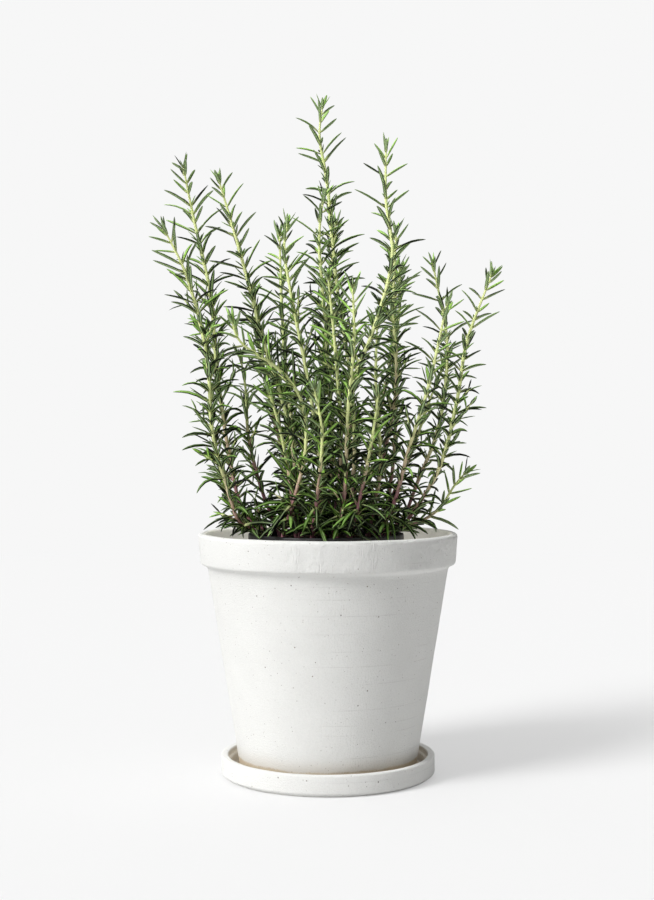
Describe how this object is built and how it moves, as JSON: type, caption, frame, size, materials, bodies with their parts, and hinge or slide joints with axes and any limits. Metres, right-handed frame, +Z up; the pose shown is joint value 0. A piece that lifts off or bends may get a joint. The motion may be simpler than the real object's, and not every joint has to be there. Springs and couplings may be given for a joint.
{
  "type": "potted rosemary plant",
  "caption": "Bushy rosemary with narrow needle leaves on upright stems, in a black nursery pot that stands inside a tapered white ceramic pot on its saucer.",
  "frame": {"origin": "middle of the saucer's flat underside, on the surface that it stands on", "axes": "+Z up, -Y towards the front of the bush as the picture shows it, +X to the right seen from the front"},
  "size_m": [0.2426, 0.1845, 0.4771],
  "materials": {
    "ceramic": "matte",
    "nursery_plastic": "satin",
    "soil": "matte",
    "foliage": "satin"
  },
  "bodies": {
    "root": {"saucer": "ceramic", "pot": "ceramic", "nursery_pot": "nursery_plastic", "soil": "soil", "leafy_stem_01": "foliage", "leafy_stem_02": "foliage", "leafy_stem_03": "foliage", "leafy_stem_04": "foliage", "leafy_stem_05": "foliage", "leafy_stem_06": "foliage", "leafy_stem_07": "foliage", "leafy_stem_08": "foliage", "leafy_stem_09": "foliage", "leafy_stem_10": "foliage", "leafy_stem_11": "foliage", "leafy_stem_12": "foliage", "leafy_stem_13": "foliage", "leafy_stem_14": "foliage", "leafy_stem_15": "foliage", "leafy_stem_16": "foliage", "leafy_stem_17": "foliage", "leafy_stem_18": "foliage", "leafy_stem_19": "foliage", "leafy_stem_20": "foliage", "leafy_stem_21": "foliage", "leafy_stem_22": "foliage", "leafy_stem_23": "foliage", "leafy_stem_24": "foliage", "leafy_stem_25": "foliage", "leafy_stem_26": "foliage"}
  },
  "joints": []
}
